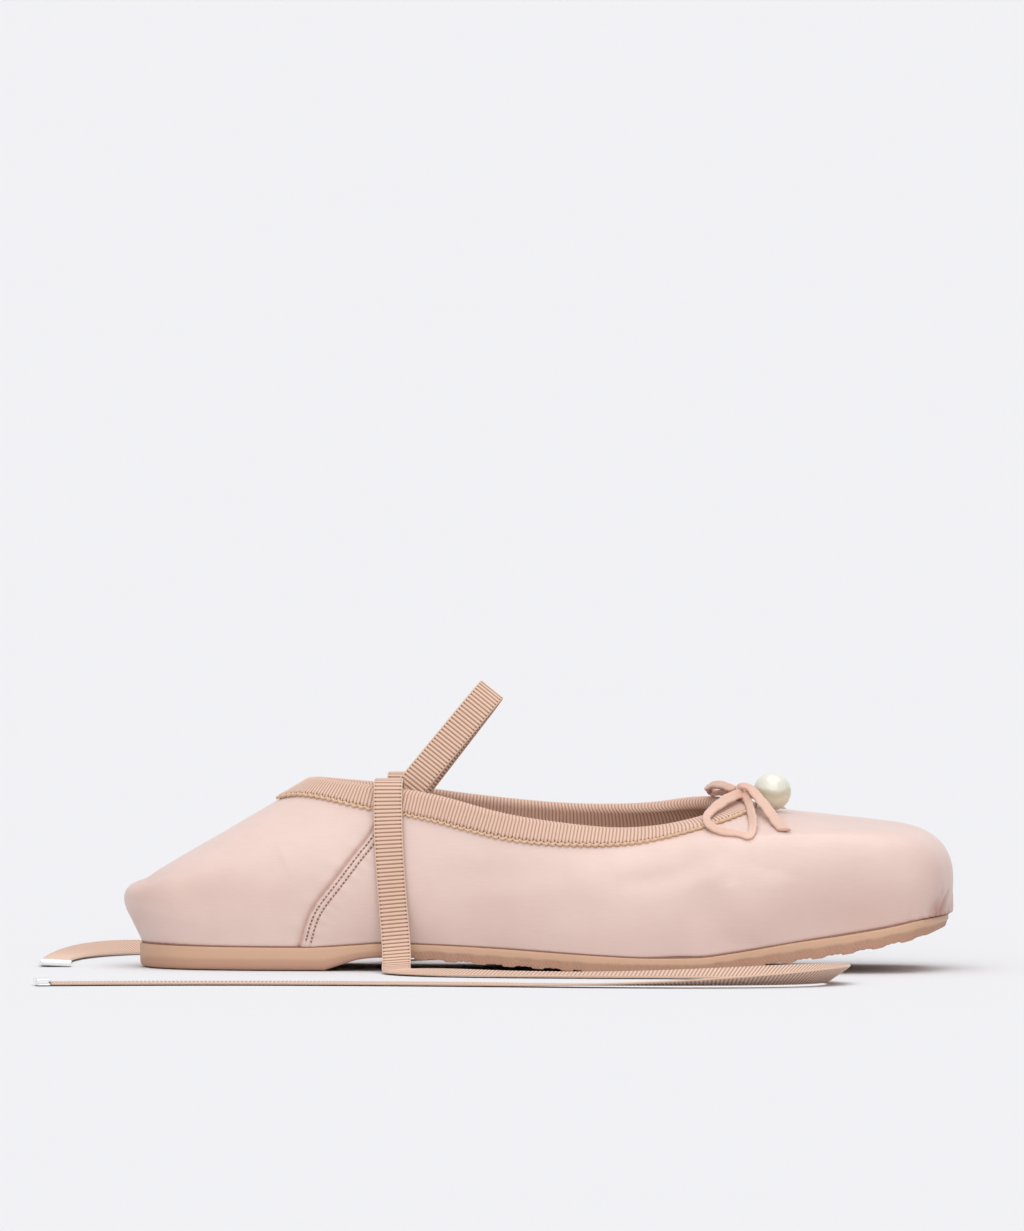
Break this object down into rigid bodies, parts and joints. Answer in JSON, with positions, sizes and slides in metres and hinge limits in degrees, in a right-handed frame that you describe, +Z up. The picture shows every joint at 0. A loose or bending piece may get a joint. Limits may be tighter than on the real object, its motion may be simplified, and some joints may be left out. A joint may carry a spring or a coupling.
{
  "type": "ballet flat",
  "caption": "Right ballet flat with a boxy toe, low rubber heel, grosgrain collar binding, instep strap, long ankle ties with metal ends, a cord bow and a pearl.",
  "frame": {"origin": "on the floor under the middle of the shoe's box, ties left out", "axes": "+X from heel to toe, +Y towards the inner (medial) side, +Z up"},
  "size_m": [0.281, 0.2385, 0.0873],
  "materials": {
    "satin": "blush satin with a soft broad sheen",
    "grosgrain": "ribbed grosgrain ribbon, matte",
    "rubber": "tan rubber, matte, fine tread",
    "insole": "smooth nude leather",
    "metal": "polished",
    "pearl": "pearl lustre",
    "bow_cord": "tubular satin cord"
  },
  "bodies": {
    "root": {"outsole": "rubber", "insole": "insole", "upper": "satin", "collar_binding": "grosgrain", "instep_strap": "grosgrain", "tie_lateral": "grosgrain", "tie_medial": "grosgrain", "tie_tip_lateral": "metal", "tie_tip_medial": "metal", "bow_knot": "bow_cord", "bow_loop_lateral": "bow_cord", "bow_loop_medial": "bow_cord", "bow_tail_lateral": "bow_cord", "bow_tail_medial": "bow_cord", "pearl": "pearl"}
  },
  "joints": []
}
